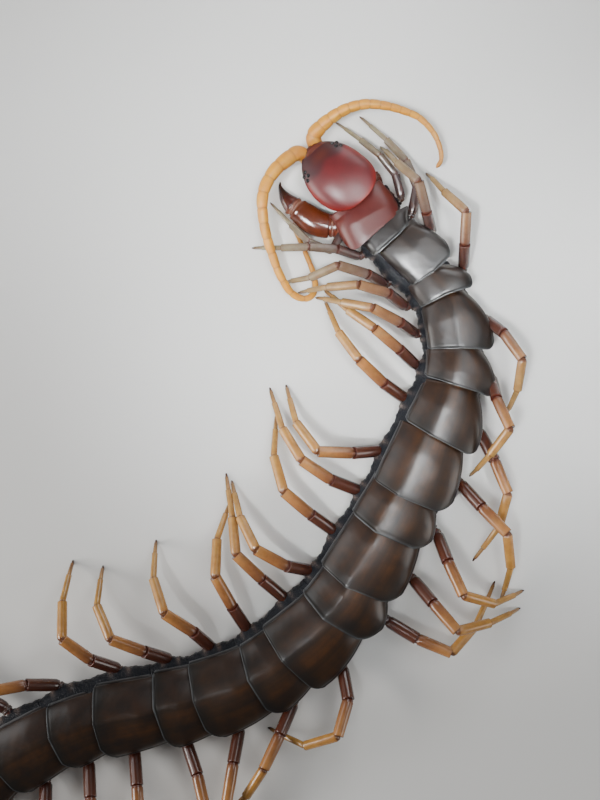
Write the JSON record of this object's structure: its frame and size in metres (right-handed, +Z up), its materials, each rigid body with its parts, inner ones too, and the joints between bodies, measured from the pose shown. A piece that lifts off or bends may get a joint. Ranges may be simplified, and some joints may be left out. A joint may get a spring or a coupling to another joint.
{
  "type": "giant centipede",
  "caption": "Life-size giant centipede resting on its belly in a curve: domed head, long feelers, venom claws, plated body and jointed legs. A still model for display.",
  "frame": {"origin": "on the ground, under the middle of the whole animal", "axes": "Z is up, and X and Y are the sides of the box that the resting animal fills; the head lies toward +X and +Y and the tail toward -X and -Y, with Y along the longer side"},
  "size_m": [0.1543, 0.188, 0.0111],
  "materials": {
    "head_shell": "glossy dark red shell, browner in front",
    "back_plate": "glossy brown-black shell with a faint grey bloom",
    "leg_shell": "glossy shell, maroon at the body and amber at the foot",
    "feeler_shell": "satin yellow-orange shell",
    "venom_claw": "glossy red-brown shell with a black tip",
    "eye_lens": "glossy black"
  },
  "bodies": {
    "root": {"head": "head_shell", "eyes_left": "eye_lens", "eyes_right": "eye_lens", "antenna_left": "feeler_shell", "antenna_right": "feeler_shell", "venom_claw_left": "venom_claw", "venom_claw_right": "venom_claw", "trunk_01": "head_shell", "trunk_02_03": "back_plate", "trunk_04_05": "back_plate", "trunk_06_07": "back_plate", "trunk_08_09": "back_plate", "trunk_10_11": "back_plate", "trunk_12_13": "back_plate", "trunk_14_15": "back_plate", "trunk_16_17": "back_plate", "trunk_18_19": "back_plate", "trunk_20_21": "back_plate", "leg_left_01": "leg_shell", "leg_right_01": "leg_shell", "leg_left_02": "leg_shell", "leg_right_02": "leg_shell", "leg_left_03": "leg_shell", "leg_right_03": "leg_shell", "leg_left_04": "leg_shell", "leg_right_04": "leg_shell", "leg_left_05": "leg_shell", "leg_right_05": "leg_shell", "leg_left_06": "leg_shell", "leg_right_06": "leg_shell", "leg_left_07": "leg_shell", "leg_right_07": "leg_shell", "leg_left_08": "leg_shell", "leg_right_08": "leg_shell", "leg_left_09": "leg_shell", "leg_right_09": "leg_shell", "leg_left_10": "leg_shell", "leg_right_10": "leg_shell", "leg_left_11": "leg_shell", "leg_right_11": "leg_shell", "leg_left_12": "leg_shell", "leg_right_12": "leg_shell", "leg_left_13": "leg_shell", "leg_right_13": "leg_shell", "leg_left_14": "leg_shell", "leg_right_14": "leg_shell", "leg_left_15": "leg_shell", "leg_right_15": "leg_shell", "leg_left_16": "leg_shell", "leg_right_16": "leg_shell", "leg_left_17": "leg_shell", "leg_right_17": "leg_shell", "leg_left_18": "leg_shell", "leg_right_18": "leg_shell", "leg_left_19": "leg_shell", "leg_right_19": "leg_shell", "leg_left_20": "leg_shell", "leg_right_20": "leg_shell", "leg_left_21": "leg_shell", "leg_right_21": "leg_shell"}
  },
  "joints": []
}
